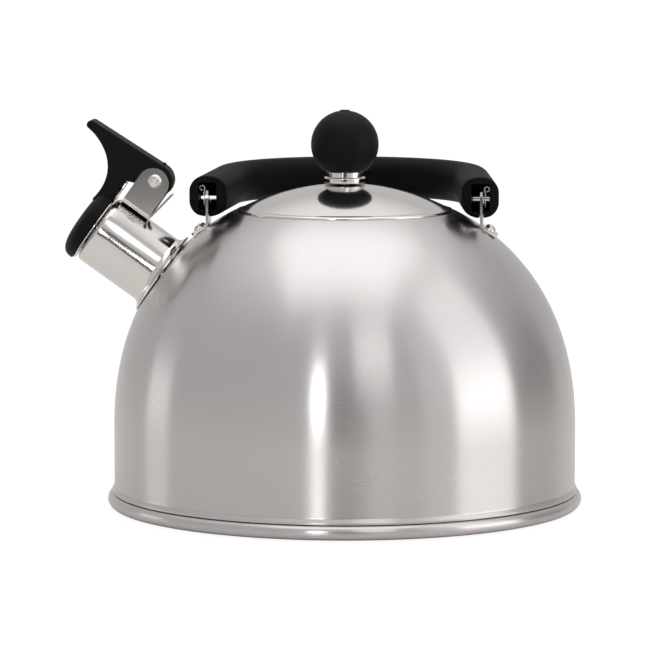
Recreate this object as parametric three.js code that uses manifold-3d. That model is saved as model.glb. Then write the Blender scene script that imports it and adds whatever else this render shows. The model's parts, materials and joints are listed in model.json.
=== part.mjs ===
// Stovetop whistling kettle: domed steel body, fold-back handle, flip-up whistle cap and lift-off lid.
// Millimetres, +Z up. The origin is the centre of the flat base, the spout points towards -X, and the
// handle lies folded back towards +Y.

import * as THREE from 'three';
import { mergeVertices } from 'three/addons/utils/BufferGeometryUtils.js';
import Module from 'manifold-3d';

const wasm = await Module();
wasm.setup();

// ---------------------------------------------------------------- driving dimensions

const SHEET = 0.8; // pressed steel thickness
const GAP = 0.3; // clearance between pieces that touch
const ROUND = 40; // segments round the large turned pieces
const MIDDLE = 24; // segments round the spout, cap and collar
const SMALL = 12; // segments round pins and rivets

const BODY = {
  wallR: 92.4, // straight lower wall
  curveZ: 33, // height at which the wall starts to lean in
  lowerPull: 48.8, // Bezier handle along the wall
  upperPull: 23.2, // Bezier handle along the shoulder
  shoulderR: 46,
  shoulderZ: 117.5,
  shoulderSlope: 27.5, // degrees
  lipR: 93.3,
  lipZ: 6.5,
};

const BASE = { flatR: 88, beadR: 2.5, beadHalf: 2.85, beadOuterR: 95, beadZ: 3.3, upstandZ: 11 };

const SEAT = { outerR: 43.9, neckR: 39.3, z: 117, neckDrop: 7 };

const LID = {
  rimR: 43.3,
  apexZ: 129.3,
  crownR: 92,
  rimThick: 1.9,
  skirtR: 38.7,
  skirtDepth: 9.9,
  screwHoleR: 2.3,
};

const COLLAR = { flangeR: 8.3, neckR: 7.25, flangeThick: 2.3, topZ: 134 };

const KNOB = { r: 13.5, z: 144.9, flatZ: 134.3, boreR: 4, boreTopZ: 148 };

const SCREW = { r: 2, headR: 4.5, headThick: 2.4, topZ: 145 };

const WASHER = { r: 7, thick: 0.9 };

const SPOUT = {
  mouth: new THREE.Vector3(-100.2, 0, 111.8),
  rise: 35.5, // degrees above the horizontal
  r: 14.65,
  length: 33.4, // from the flange's rim to the whistle
  flangeR: 17.85,
  rimGap: 1.2, // from the whistle to the tube's end
  lipR: 2, // radius of the mouth's rolled lip
};

const HINGE = {
  along: -9.5, // pivot, along the spout from the mouth
  up: 29.4, // pivot, above the spout's axis
  pinR: 2,
  headR: 2.7,
  earInner: 6.6,
  earWidth: 12.6,
  saddle: 15, // underside of the saddle above the spout's axis
};

const CAP = {
  r: 16,
  crown: 6.6,
  flatness: 3.2, // exponent of the dome's outline: 2 is an ellipse, and more is flatter
  wall: 2.4,
  foot: 0.2,
  steamR: 3.2,
  leverHalf: 6.2,
  hubR: 6.8,
};

const WHISTLE = {
  r: 15.2,
  plateTop: -0.1,
  thick: 0.6,
  holeR: 2.2,
  cupR: 11.8,
  chamberR: 9,
  chamberDepth: 2.4,
  tailTop: 21.5,
};

const SPRING = { r: 3.4, wire: 0.7, pitch: 1.15, turns: 4, pocketR: 5.3, pocketHalf: 3.2 };

const HANDLE = {
  pivotZ: 123.4,
  pivotX: 54.4,
  tilt: 1.7, // degrees above the horizontal when folded back
  width: 14.8,
  depth: 16.4,
  cornerR: 6.4,
  lift: 1.2, // centreline above the pivot
  toe: 8, // from the pivot to the end face
  legX: 49.8,
  legY: 36,
  legPull: 22,
  bowY: 72,
  bowPull: 26,
  slot: 7.3,
  slotFloor: 7,
  slotRoof: 6.8,
  slotSill: 4.6, // below the pivot, where the slot narrows to the strap
  strapSlot: 1.6,
  footR: 9, // from the pivot: clears the strap's foot and rivets as the handle swings
};

const STRAP = { x: 54.7, thick: 1, half: 6.3, footInnerR: 54.4, footLength: 7.4 };

const PIN = { r: 2.15, holeR: 2.45, length: 13.4 };

const CLIP = { thick: 1.2, half: 2.8, reach: 4.1, eyeR: 1 };

const RIVET = { headR: 2.2, headHeight: 1.5, shankR: 1.1, holeR: 1.4, spread: 3.6 };

// ---------------------------------------------------------------- materials

const finish = (color, roughness, metalness) =>
  new THREE.MeshStandardMaterial({ color, roughness, metalness });
const brushedSteel = finish(0xb4b0ad, 0.38, 1);
const polishedSteel = finish(0xd6d3cf, 0.12, 1);
const brass = finish(0xb99a55, 0.35, 1);
const springSteel = finish(0x8f8c88, 0.3, 1);
const softTouch = finish(0x1c1b1d, 0.62, 0);
const phenolic = finish(0x161518, 0.45, 0);

// ---------------------------------------------------------------- shared geometry helpers

const rad = THREE.MathUtils.degToRad;
const v2 = (x, y) => new THREE.Vector2(x, y);
const v3 = (x, y, z) => new THREE.Vector3(x, y, z);

/** A closed solid turned about Z from a counter-clockwise list of [radius, height] points. */
function turned(points, segments = ROUND) {
  const profile = points.map((p) => (p.isVector2 ? p : v2(...p)));
  if (profile[0].x > 0) profile.push(profile[0].clone());
  return new THREE.LatheGeometry(profile, segments).rotateX(Math.PI / 2);
}

/** A flat ring between two radii and two heights. */
const ring = (inner, outer, low, high) =>
  turned([[inner, low], [outer, low], [outer, high], [inner, high]], MIDDLE);

/** Points of a circular or elliptical arc, angles in degrees. */
function arc(cx, cy, rx, ry, from, to, steps) {
  return Array.from({ length: steps + 1 }, (_, i) => {
    const a = rad(from + ((to - from) * i) / steps);
    return v2(cx + rx * Math.cos(a), cy + ry * Math.sin(a));
  });
}

/** A flat shape from points, extruded from z = 0 to z = height. */
function plate(points, height, holes = []) {
  const shape = new THREE.Shape(points.map((p) => (p.isVector2 ? p : v2(...p))));
  shape.holes = holes;
  return new THREE.ExtrudeGeometry(shape, { depth: height, bevelEnabled: false, curveSegments: 4 });
}

/** A round hole for a shape. */
function hole(x, y, r) {
  return new THREE.Path().absarc(x, y, r, 0, 2 * Math.PI, true);
}

/** A box between two corners. */
function block(low, high) {
  const size = v3(...high).sub(v3(...low));
  const middle = v3(...low).addScaledVector(size, 0.5);
  return new THREE.BoxGeometry(size.x, size.y, size.z).translate(middle.x, middle.y, middle.z);
}

/** A cylinder along one axis ('x', 'y' or 'z') between two heights. */
function rod(axis, r, from, to, segments = 16) {
  const geometry = new THREE.CylinderGeometry(r, r, to - from, segments).translate(0, (from + to) / 2, 0);
  if (axis === 'x') geometry.rotateZ(-Math.PI / 2);
  if (axis === 'z') geometry.rotateX(Math.PI / 2);
  return geometry;
}

/** A manifold solid from a closed three.js geometry. */
function solid(geometry) {
  const bare = geometry.clone();
  bare.deleteAttribute('normal');
  bare.deleteAttribute('uv');
  const merged = mergeVertices(bare, 1e-4);
  const index = merged.index.array;
  const triangles = [];
  for (let i = 0; i < index.length; i += 3) {
    const [a, b, c] = index.subarray(i, i + 3);
    if (a !== b && b !== c && c !== a) triangles.push(a, b, c);
  }
  const mesh = new wasm.Mesh({
    numProp: 3,
    vertProperties: new Float32Array(merged.attributes.position.array),
    triVerts: new Uint32Array(triangles),
  });
  return new wasm.Manifold(mesh);
}

/** A three.js geometry from a manifold solid. */
function geometryOf(body) {
  const mesh = body.getMesh();
  const geometry = new THREE.BufferGeometry();
  geometry.setAttribute('position', new THREE.BufferAttribute(mesh.vertProperties, 3));
  geometry.setIndex(new THREE.BufferAttribute(mesh.triVerts, 1));
  return geometry;
}

/** Joins geometries into one, and cuts tools out of a part. */
const join = (...parts) => geometryOf(parts.map(solid).reduce((a, b) => a.add(b)));
const cut = (part, ...tools) => geometryOf(tools.map(solid).reduce((a, b) => a.subtract(b), solid(part)));

function piece(parent, name, geometry, material) {
  const mesh = new THREE.Mesh(geometry, material);
  mesh.name = name;
  parent.add(mesh);
  return mesh;
}

// ---------------------------------------------------------------- frames

/** The spout's frame: +Z along the spout out of the kettle, +X up from its axis, +Y as the kettle's. */
function spoutFrame() {
  const frame = new THREE.Group();
  frame.position.copy(SPOUT.mouth);
  frame.rotation.y = rad(SPOUT.rise - 90);
  frame.updateMatrixWorld(true);
  return frame;
}

/** The point of the body's outside at a fraction of the shoulder curve, and its outward normal. */
function bodyCurve(t) {
  const { wallR, curveZ, lowerPull, upperPull, shoulderR, shoulderZ } = BODY;
  const slope = rad(BODY.shoulderSlope);
  const curve = new THREE.CubicBezierCurve(
    v2(wallR, curveZ),
    v2(wallR, curveZ + lowerPull),
    v2(shoulderR + upperPull * Math.cos(slope), shoulderZ - upperPull * Math.sin(slope)),
    v2(shoulderR, shoulderZ),
  );
  const tangent = curve.getTangent(t);
  return { point: curve.getPoint(t), normal: v2(tangent.y, -tangent.x) };
}

/** The body's outside from the wall to the shoulder, moved outwards by an offset. */
function bodyOutline(offset, steps = 8) {
  return Array.from({ length: steps + 1 }, (_, i) => {
    const { point, normal } = bodyCurve(i / steps);
    return point.addScaledVector(normal, offset);
  });
}

/** The body's outside at a radius from the axis: its height and its slope in radians. */
function bodyAt(radius) {
  let low = 0;
  let high = 1;
  for (let i = 0; i < 40; i += 1) {
    const middle = (low + high) / 2;
    if (bodyCurve(middle).point.x > radius) low = middle;
    else high = middle;
  }
  const { point, normal } = bodyCurve(low);
  return { z: point.y, slope: Math.atan2(normal.x, normal.y) };
}

/** The foot of a handle bracket: +X down the body's slope away from the axis, +Z out of the body. */
function footFrame(side) {
  const middle = STRAP.footInnerR + (STRAP.footLength / 2) * Math.cos(bodyAt(STRAP.footInnerR).slope);
  const { z, slope } = bodyAt(middle);
  const frame = new THREE.Group();
  frame.position.set(side * middle, 0, z);
  frame.rotation.y = side * slope;
  frame.updateMatrixWorld(true);
  return frame;
}

const rivetSpots = [
  ['front', -RIVET.spread],
  ['rear', RIVET.spread],
];

/** The two rivet holes through a bracket's foot and the body under it. */
function rivetHoles(side) {
  const foot = footFrame(side).matrixWorld;
  const drill = (y) => rod('z', RIVET.holeR, -4, 4, SMALL).translate(0, y, 0);
  return rivetSpots.map(([, y]) => drill(y).applyMatrix4(foot));
}

// ---------------------------------------------------------------- body

function domeShell() {
  const outer = bodyOutline(0);
  const inner = bodyOutline(-SHEET).reverse();
  const { wallR, lipR, lipZ } = BODY;
  const rimR = SEAT.outerR + 0.7;
  const rimZ = BODY.shoulderZ + (BODY.shoulderR - rimR) * Math.tan(rad(BODY.shoulderSlope));
  const shell = turned([
    [lipR - 0.1, lipZ - 0.1],
    [lipR, lipZ + 0.6],
    [wallR + 0.3, lipZ + 1.9],
    [wallR, lipZ + 3.2],
    ...outer,
    [rimR, rimZ],
    [SEAT.outerR + 0.1, rimZ - 0.3],
    [SEAT.outerR, SEAT.z],
    [SEAT.neckR, SEAT.z],
    [SEAT.neckR, SEAT.z - SEAT.neckDrop],
    [SEAT.neckR + SHEET, SEAT.z - SEAT.neckDrop],
    [SEAT.neckR + SHEET, SEAT.z - SHEET],
    [rimR + 0.1, SEAT.z - SHEET],
    ...inner,
    [wallR - SHEET, lipZ + 3.1],
    [wallR - SHEET + 0.4, lipZ + 1.3],
    [lipR - SHEET, lipZ],
  ]);
  const spoutHole = rod('z', SPOUT.r + GAP, -SPOUT.length - 12, -SPOUT.length + 6, MIDDLE);
  spoutHole.applyMatrix4(spoutFrame().matrixWorld);
  return cut(shell, spoutHole, ...rivetHoles(-1), ...rivetHoles(1));
}

function basePan() {
  const { flatR, beadR, beadHalf, beadOuterR, beadZ, upstandZ } = BASE;
  const beadX = beadOuterR - beadR;
  const wallR = BODY.wallR - SHEET - 2 * GAP;
  return turned([
    [0, 0],
    [flatR, 0],
    [flatR + 2.2, 0.9],
    ...arc(beadX, beadZ, beadR, beadHalf, -130, 100, 6),
    [wallR + 0.1, beadZ + beadHalf],
    [wallR, upstandZ],
    [wallR - SHEET, upstandZ],
    [wallR - SHEET, beadZ],
    [flatR + 0.8, 1.5],
    [flatR - 1, 1],
    [0, 1],
  ]);
}

// ---------------------------------------------------------------- spout

function spoutTube() {
  const { r, length, flangeR, rimGap, lipR } = SPOUT;
  const bore = r - SHEET;
  const tail = -length - 4.6;
  const tube = turned(
    [
      [bore, tail],
      [r + 1.6, tail],
      [r + 1.6, tail + SHEET],
      [r, tail + SHEET + 0.2],
      ...arc(r - lipR, -rimGap - lipR, lipR, lipR, 0, 90, 4),
      [r - lipR - 0.2, -rimGap],
      [r - lipR - 0.2, -rimGap - SHEET],
      ...arc(r - lipR, -rimGap - lipR, lipR - SHEET, lipR - SHEET, 90, 0, 3),
    ],
    MIDDLE,
  );
  const flange = turned(
    [
      [r - 0.3, -length - 0.4],
      [flangeR, -length - 0.4],
      [flangeR, -length + 0.9],
      ...arc(flangeR, -length + 3.9, flangeR - r, 3, 262, 186, 5),
      [r - 0.3, -length + 3.9],
    ],
    MIDDLE,
  );
  const low = 40;
  const outside = bodyOutline(GAP, 40).filter((p) => p.y > low);
  const envelope = turned([[0, low], [BODY.wallR, low], ...outside, [0, SEAT.z]], 128);
  envelope.applyMatrix4(spoutFrame().matrixWorld.invert());
  return join(tube, cut(flange, envelope));
}

/** Stands a plate drawn as [along, up] upright in the spout's frame, between two Y positions. */
function upright(points, fromY, toY, holes = []) {
  const basis = new THREE.Matrix4().makeBasis(v3(0, 0, 1), v3(1, 0, 0), v3(0, 1, 0));
  return plate(points, toY - fromY, holes).applyMatrix4(basis).translate(0, fromY, 0);
}

function hingeBracket() {
  const { along, up, saddle, earWidth, earInner, pinR } = HINGE;
  const half = earWidth / 2;
  const roundTop = arc(along, up - 1.3, half, half, 0, 180, 12);
  const outline = [[along - half, saddle], [along + half, saddle], ...roundTop];
  const pinHole = hole(along, up, pinR + GAP);
  const ears = [-earInner - SHEET, earInner].map((y) => upright(outline, y, y + SHEET, [pinHole]));
  const reach = earInner + 0.1;
  const base = block([saddle, -reach, along - half], [saddle + SHEET, reach, along + half]);
  const lean = along - half - 2.1;
  const tabOutline = [
    [along - half - 0.4, saddle],
    [lean - 0.6, up - 1],
    [lean, up - 1],
    [along - half + 0.3, saddle + SHEET],
    [along - half + 0.3, saddle],
  ];
  const tab = upright(tabOutline, -3.5, 3.5);
  return join(...ears, base, tab);
}

function hingePin() {
  const { pinR, headR, earInner } = HINGE;
  const face = earInner + SHEET + GAP;
  const head = [[headR, face], ...arc(0, face + 0.4, headR, 1.1, 0, 90, 3)];
  const half = [[pinR, face], ...head];
  const mirrored = half.map((p) => (p.isVector2 ? v2(p.x, -p.y) : v2(p[0], -p[1]))).reverse();
  return turned([...mirrored, ...half], 16).rotateX(-Math.PI / 2);
}

function capSpring() {
  const { r, wire, pitch, turns } = SPRING;
  const steps = turns * 10;
  const start = -(pitch * turns) / 2;
  const coil = Array.from({ length: steps + 1 }, (_, i) => {
    const a = (2 * Math.PI * turns * i) / steps;
    return v3(-r * Math.sin(a), start + (pitch * turns * i) / steps, -r * Math.cos(a));
  });
  const legs = HINGE.up - HINGE.saddle - SHEET - GAP - wire / 2;
  const leg = [v3(-legs, start - 0.2, -r), v3(-legs / 2, start - 0.15, -r)];
  const path = new THREE.CatmullRomCurve3([...leg, ...coil]);
  const wireShape = new THREE.Shape(arc(0, 0, wire / 2, wire / 2, 0, 300, 5));
  return new THREE.ExtrudeGeometry(wireShape, { steps: steps + 6, bevelEnabled: false, extrudePath: path });
}

// ---------------------------------------------------------------- whistle cap

/** The outline of the cap's flattened dome, from its rim to its top. */
function capOutline(r, height, steps) {
  const power = 2 / CAP.flatness;
  return arc(0, 0, 1, 1, 0, 90, steps).map((p) => {
    const [across, up] = [Math.max(p.x, 0) ** power, p.y ** power];
    return v2(r * across, CAP.foot + height * up);
  });
}

function spoutCap() {
  const { r, crown, wall, foot, steamR, leverHalf, hubR } = CAP;
  const { along, up, pinR } = HINGE;
  const dome = turned([[0, foot], ...capOutline(r, crown, 8)], MIDDLE);
  const inner = capOutline(r - wall, crown - wall, 5);
  const cavity = turned([[0, foot - 1], [r - wall, foot - 1], ...inner], MIDDLE);
  const steam = rod('z', steamR, foot, foot + crown + 1);
  const tip = { along: 24.3, up: 32.7, r: 1.8 };
  const horn = new THREE.CubicBezierCurve(v2(23.4, 31.1), v2(8.5, 28), v2(5, 18), v2(7, 8.8));
  const lever = [
    ...arc(along, up, hubR, hubR, 215, 85, 9),
    ...arc(tip.along, tip.up, tip.r, tip.r, 88, -60, 6),
    ...horn.getPoints(8).slice(1),
    v2(4, 8.4),
    v2(foot, 12.2),
    v2(foot, 22.5),
    v2(-3.4, 24),
  ];
  const nub = rod('y', 0.7, -1.4, 1.4, 10).translate(up + hubR + 0.2, 0, along + 1.2);
  const { pocketR, pocketHalf } = SPRING;
  const pocket = rod('y', pocketR, -pocketHalf, pocketHalf).translate(up, 0, along);
  const window = block([up - hubR - 1, -pocketHalf, along - hubR - 1], [up + 1.6, pocketHalf, along + 2]);
  const bore = rod('y', pinR + GAP, -leverHalf - 1, leverHalf + 1).translate(up, 0, along);
  const body = join(dome, upright(lever.reverse(), -leverHalf, leverHalf), nub);
  return cut(body, cavity, steam, pocket, window, bore);
}

function whistlePlate() {
  const { r, plateTop, thick, holeR, tailTop } = WHISTLE;
  const tail = block([r - 2, -4, plateTop - thick], [tailTop, 4, plateTop]);
  return join(ring(holeR, r, plateTop - thick, plateTop), tail);
}

function whistleCup() {
  const { plateTop, thick, holeR, cupR, chamberR, chamberDepth } = WHISTLE;
  const high = plateTop - thick - GAP;
  const low = high - thick - chamberDepth;
  return turned(
    [
      [holeR, low],
      [chamberR - 0.8, low],
      [chamberR, low + 0.8],
      [chamberR, high - thick],
      [cupR, high - thick],
      [cupR, high],
      [chamberR - thick, high],
      [chamberR - thick, low + 0.9],
      [chamberR - 1, low + thick],
      [holeR, low + thick],
    ],
    MIDDLE,
  );
}

// ---------------------------------------------------------------- lid and knob

/** The lid's height at a radius: a spherical crown. */
const lidZ = (radius) => LID.apexZ - LID.crownR + Math.sqrt(LID.crownR ** 2 - radius ** 2);

function lidShell() {
  const { rimR, rimThick, screwHoleR } = LID;
  const steps = 4;
  const crownEdge = rimR - rimThick / 2 - 0.6;
  const crown = Array.from({ length: steps + 1 }, (_, i) => {
    const radius = screwHoleR + ((crownEdge - screwHoleR) * i) / steps;
    return v2(radius, lidZ(radius));
  });
  const under = crown.map((p) => v2(p.x, p.y - SHEET));
  const rollR = rimThick / 2;
  const roll = arc(rimR - rollR, SEAT.z + 0.4 + rollR, rollR, rollR, -110, 100, 5);
  return turned([...under, ...roll, ...crown.reverse()]);
}

function lidSkirt() {
  const { skirtR, skirtDepth } = LID;
  const top = SEAT.z + 1.4;
  return turned([
    [skirtR - SHEET, top - skirtDepth],
    [skirtR, top - skirtDepth],
    [skirtR, top - SHEET],
    [skirtR + 2.5, top - SHEET],
    [skirtR + 2.5, top],
    [skirtR - SHEET, top],
  ]);
}

function knobCollar() {
  const { flangeR, neckR, flangeThick, topZ } = COLLAR;
  const low = LID.apexZ + GAP;
  return turned(
    [
      [LID.screwHoleR, low],
      [flangeR - 0.3, low],
      [flangeR, low + 0.3],
      [flangeR, low + flangeThick - 0.4],
      [flangeR - 0.5, low + flangeThick],
      [neckR, low + flangeThick],
      [neckR, topZ],
      [LID.screwHoleR, topZ],
    ],
    MIDDLE,
  );
}

function knob() {
  const { r, z, flatZ, boreR, boreTopZ } = KNOB;
  const from = THREE.MathUtils.radToDeg(Math.asin((flatZ - z) / r));
  const ball = arc(0, z, r, r, from, 90, 10);
  return turned([[0, boreTopZ], [boreR, boreTopZ], [boreR, flatZ], ...ball], MIDDLE);
}

const knobInsert = () => ring(LID.screwHoleR, KNOB.boreR - GAP, KNOB.flatZ + GAP, KNOB.boreTopZ - GAP);

/** The washer's underside, where the screw's head bears. */
const washerZ = LID.apexZ - SHEET - 2 * GAP - WASHER.thick;

const knobWasher = () => ring(LID.screwHoleR, WASHER.r, washerZ, washerZ + WASHER.thick);

function knobScrew() {
  const { r, headR, headThick, topZ } = SCREW;
  const seat = washerZ - GAP;
  const low = seat - headThick;
  const head = [[0, low], [headR - 0.9, low], [headR, low + 0.9], [headR, seat]];
  return turned([...head, [r, seat], [r, topZ - 1], [r - 0.6, topZ], [0, topZ]], MIDDLE);
}

// ---------------------------------------------------------------- handle

/** Stands a plate drawn as [distance from the middle, z] across Y, on one side of the kettle. */
function acrossY(points, side, half) {
  const drawn = side > 0 ? points : points.map((p) => v2(-p.x, p.y)).reverse();
  return plate(drawn, 2 * half).rotateX(Math.PI / 2).translate(0, half, 0);
}

/** Stands a plate drawn as [y, z] across X, starting at a given X. */
function acrossX(points, fromX, thick, holes = []) {
  const basis = new THREE.Matrix4().makeBasis(v3(0, 1, 0), v3(0, 0, 1), v3(1, 0, 0));
  return plate(points, thick, holes).applyMatrix4(basis).translate(fromX, 0, 0);
}

/** Half of the grip's centreline in the handle's frame: a straight leg, then a corner to the bow. */
function gripHalf(side) {
  const { pivotX, toe, lift, legX, legY, legPull, bowY, bowPull } = HANDLE;
  const end = v2(pivotX, -toe);
  const corner = v2(legX, legY);
  const pull = corner.clone().sub(end).setLength(legPull).add(corner);
  return {
    leg: new THREE.LineCurve3(v3(side * end.x, end.y, lift), v3(side * corner.x, corner.y, lift)),
    bow: new THREE.CubicBezierCurve3(
      v3(side * corner.x, corner.y, lift),
      v3(side * pull.x, pull.y, lift),
      v3(side * bowPull, bowY, lift),
      v3(0, bowY, lift),
    ),
  };
}

function reversed(curve) {
  if (curve.isLineCurve3) return new THREE.LineCurve3(curve.v2, curve.v1);
  return new THREE.CubicBezierCurve3(curve.v3, curve.v2, curve.v1, curve.v0);
}

/** The shoulder under one end of the handle, at each step of its swing from folded to upright. */
function shoulderSweep(side) {
  const { pivotX, pivotZ, width, tilt } = HANDLE;
  const upright = 90 - tilt;
  const steps = 9;
  const top = bodyOutline(GAP, 40).filter((p) => p.x < pivotX + width);
  const section = [v2(top[0].x, pivotZ - 30), ...top, v2(top.at(-1).x, pivotZ - 30)];
  return Array.from({ length: steps + 1 }, (_, i) => {
    const shoulder = acrossY(section, side, width).translate(0, 0, -pivotZ);
    return shoulder.rotateX(-rad(tilt + (upright * i) / steps));
  });
}

/** The slot in one end: wide round the pin, narrow below it, and clear of the strap's foot. */
function endSlot(side) {
  const { pivotX, toe, slot, slotFloor, slotRoof, slotSill, strapSlot, footR } = HANDLE;
  const [x, strapX, front, low] = [side * pivotX, side * STRAP.x, -toe - 5, -20];
  const sillAngle = 180 + THREE.MathUtils.radToDeg(Math.asin(slotSill / footR));
  const swing = arc(0, 0, footR, footR, 270, sillAngle, 6);
  const corner = [v2(0, low), ...swing, v2(front, -slotSill), v2(front, low)];
  return [
    block([x - slot / 2, front, -slotSill], [x + slot / 2, slotFloor, slotRoof]),
    block([strapX - strapSlot / 2, front, low], [strapX + strapSlot / 2, slotFloor, 0]),
    acrossX(corner, x - slot / 2, slot),
  ];
}

function handle() {
  const { width, depth, cornerR, pivotX } = HANDLE;
  const left = gripHalf(-1);
  const right = gripHalf(1);
  const path = new THREE.CurvePath();
  path.curves = [left.leg, left.bow, reversed(right.bow), reversed(right.leg)];
  const [a, b] = [depth / 2 - cornerR, width / 2 - cornerR];
  const section = new THREE.Shape([
    ...arc(a, b, cornerR, cornerR, 0, 90, 3),
    ...arc(-a, b, cornerR, cornerR, 90, 180, 3),
    ...arc(-a, -b, cornerR, cornerR, 180, 270, 3),
    ...arc(a, -b, cornerR, cornerR, 270, 360, 3),
  ]);
  const grip = new THREE.ExtrudeGeometry(section, { steps: 28, bevelEnabled: false, extrudePath: path });
  const tools = [-1, 1].flatMap((side) => {
    const x = side * pivotX;
    return [...endSlot(side), rod('x', PIN.holeR, x - width, x + width), ...shoulderSweep(side)];
  });
  return cut(grip, ...tools);
}

function handlePin(side) {
  const { r, length } = PIN;
  const x = side * HANDLE.pivotX;
  const half = length / 2;
  const edge = 0.4;
  const low = [[0, -half], [r - edge, -half], [r, edge - half]];
  const high = [[r, half - edge], [r - edge, half], [0, half]];
  return turned([...low, ...high], SMALL).rotateY(Math.PI / 2).translate(x, 0, 0);
}

function springClip(side) {
  const { thick, half, reach, eyeR } = CLIP;
  const near = STRAP.x + STRAP.thick / 2 + GAP + 0.1;
  const outline = [
    ...arc(0, reach - half, half, half, 0, 180, 6),
    ...arc(0, half - reach, half, half, 180, 360, 6),
  ];
  const leaf = acrossX(outline, side > 0 ? near : -near - thick, thick, [hole(0, 0, PIN.holeR)]);
  const eye = rod('y', eyeR, -half + 0.6, half - 0.6, 14).translate(side * (near + eyeR), 0, reach);
  return join(leaf, eye);
}

// ---------------------------------------------------------------- handle brackets

function handleBracket(side) {
  const { x, thick, half, footLength } = STRAP;
  const foot = footFrame(side);
  const footLow = GAP;
  const bend = v3(-side * footLength * 0.5, 0, footLow).applyMatrix4(foot.matrixWorld);
  const low = bend.z + 0.4;
  const outline = [[-half, low], [half, low], ...arc(0, HANDLE.pivotZ, half, half, 0, 180, 12)];
  const ear = acrossX(outline, side * x - thick / 2, thick, [hole(0, HANDLE.pivotZ, PIN.holeR)]);
  const leaf = block([-footLength / 2, -half, footLow], [footLength / 2, half, footLow + thick]);
  leaf.applyMatrix4(foot.matrixWorld);
  return cut(join(ear, leaf), ...rivetHoles(side));
}

function bracketRivet() {
  const { headR, headHeight, shankR } = RIVET;
  const seat = 2 * GAP + STRAP.thick;
  const tail = -SHEET - GAP - 0.2;
  return turned(
    [
      [0, tail - 1],
      [headR - 0.5, tail - 0.8],
      [headR - 0.3, tail],
      [shankR, tail],
      [shankR, seat],
      ...arc(0, seat, headR, headHeight, 0, 90, 3),
    ],
    SMALL,
  );
}

// ---------------------------------------------------------------- assembly

const kettle = new THREE.Group();

piece(kettle, 'dome_shell', domeShell(), brushedSteel);
piece(kettle, 'base_pan', basePan(), brushedSteel);

const spout = spoutFrame();
kettle.add(spout);
piece(spout, 'spout_tube', spoutTube(), polishedSteel);
piece(spout, 'hinge_bracket', hingeBracket(), polishedSteel);
piece(spout, 'hinge_pin', hingePin(), polishedSteel).position.set(HINGE.up, 0, HINGE.along);
piece(spout, 'cap_spring', capSpring(), springSteel).position.set(HINGE.up, 0, HINGE.along);
piece(spout, 'spout_cap', spoutCap(), phenolic);
piece(spout, 'whistle_plate', whistlePlate(), polishedSteel);
piece(spout, 'whistle_cup', whistleCup(), polishedSteel);

piece(kettle, 'lid_shell', lidShell(), polishedSteel);
piece(kettle, 'lid_skirt', lidSkirt(), brushedSteel);
piece(kettle, 'knob_collar', knobCollar(), polishedSteel);
piece(kettle, 'knob', knob(), phenolic);
piece(kettle, 'knob_insert', knobInsert(), brass);
piece(kettle, 'knob_washer', knobWasher(), springSteel);
piece(kettle, 'knob_screw', knobScrew(), springSteel);

const bail = new THREE.Group();
bail.position.z = HANDLE.pivotZ;
bail.rotation.x = rad(HANDLE.tilt);
kettle.add(bail);
piece(bail, 'handle', handle(), softTouch);

for (const [name, side] of [['left', -1], ['right', 1]]) {
  piece(bail, `handle_pin_${name}`, handlePin(side), polishedSteel);
  piece(bail, `spring_clip_${name}`, springClip(side), springSteel);
  piece(kettle, `handle_bracket_${name}`, handleBracket(side), polishedSteel);
  const foot = footFrame(side);
  kettle.add(foot);
  for (const [end, y] of rivetSpots) {
    piece(foot, `bracket_rivet_${name}_${end}`, bracketRivet(), polishedSteel).position.y = y;
  }
}

export default kettle;
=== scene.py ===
"""The looks of a stovetop whistling kettle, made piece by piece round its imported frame."""

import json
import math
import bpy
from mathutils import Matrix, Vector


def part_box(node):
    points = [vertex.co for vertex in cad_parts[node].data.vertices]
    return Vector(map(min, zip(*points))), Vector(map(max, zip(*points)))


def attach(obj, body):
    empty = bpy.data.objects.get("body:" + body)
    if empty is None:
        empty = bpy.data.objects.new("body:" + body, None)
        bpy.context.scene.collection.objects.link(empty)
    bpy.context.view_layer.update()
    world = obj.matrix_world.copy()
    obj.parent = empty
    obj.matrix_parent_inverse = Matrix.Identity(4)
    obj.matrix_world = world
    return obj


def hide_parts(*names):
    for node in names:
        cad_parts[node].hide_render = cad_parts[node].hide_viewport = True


bl_info = {
    "name": "Stovetop Whistling Kettle",
    "version": (1, 0, 0),
    "blender": (4, 5, 0),
    "location": "3D View > Sidebar > Kettle",
    "description": "Makes each piece of a domed whistling kettle and a small studio round it",
    "category": "Add Mesh",
}

from types import SimpleNamespace

import bmesh
import bpy
from bpy.props import FloatProperty, FloatVectorProperty, PointerProperty
from mathutils import Matrix, Vector
from mathutils.geometry import interpolate_bezier

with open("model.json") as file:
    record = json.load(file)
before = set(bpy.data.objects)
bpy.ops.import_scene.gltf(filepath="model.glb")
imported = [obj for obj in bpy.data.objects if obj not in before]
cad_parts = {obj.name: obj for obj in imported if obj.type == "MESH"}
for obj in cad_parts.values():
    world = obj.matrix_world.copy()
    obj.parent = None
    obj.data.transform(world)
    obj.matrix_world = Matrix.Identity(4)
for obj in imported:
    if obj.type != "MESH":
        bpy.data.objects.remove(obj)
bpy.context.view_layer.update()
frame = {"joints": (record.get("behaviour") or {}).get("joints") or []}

MM = 0.001
SIDES = (("left", -1), ("right", 1))

# ------------------------------------------------------------------ places taken from the frame

JOINTS = {joint["name"]: joint for joint in frame["joints"]}
FOLD_PIVOT = Vector(JOINTS["handle_fold"]["pos_m"])
FLIP_PIVOT = Vector(JOINTS["spout_flip"]["pos_m"])
DOME_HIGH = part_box("dome_shell")[1]
BASE_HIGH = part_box("base_pan")[1]
LID_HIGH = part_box("lid_shell")[1]
COLLAR_LOW, COLLAR_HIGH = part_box("knob_collar")
KNOB_LOW, KNOB_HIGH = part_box("knob")
STRAP_LOW, STRAP_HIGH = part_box("handle_bracket_right")
RIVET_LOW, RIVET_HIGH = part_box("bracket_rivet_right_rear")


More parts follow.
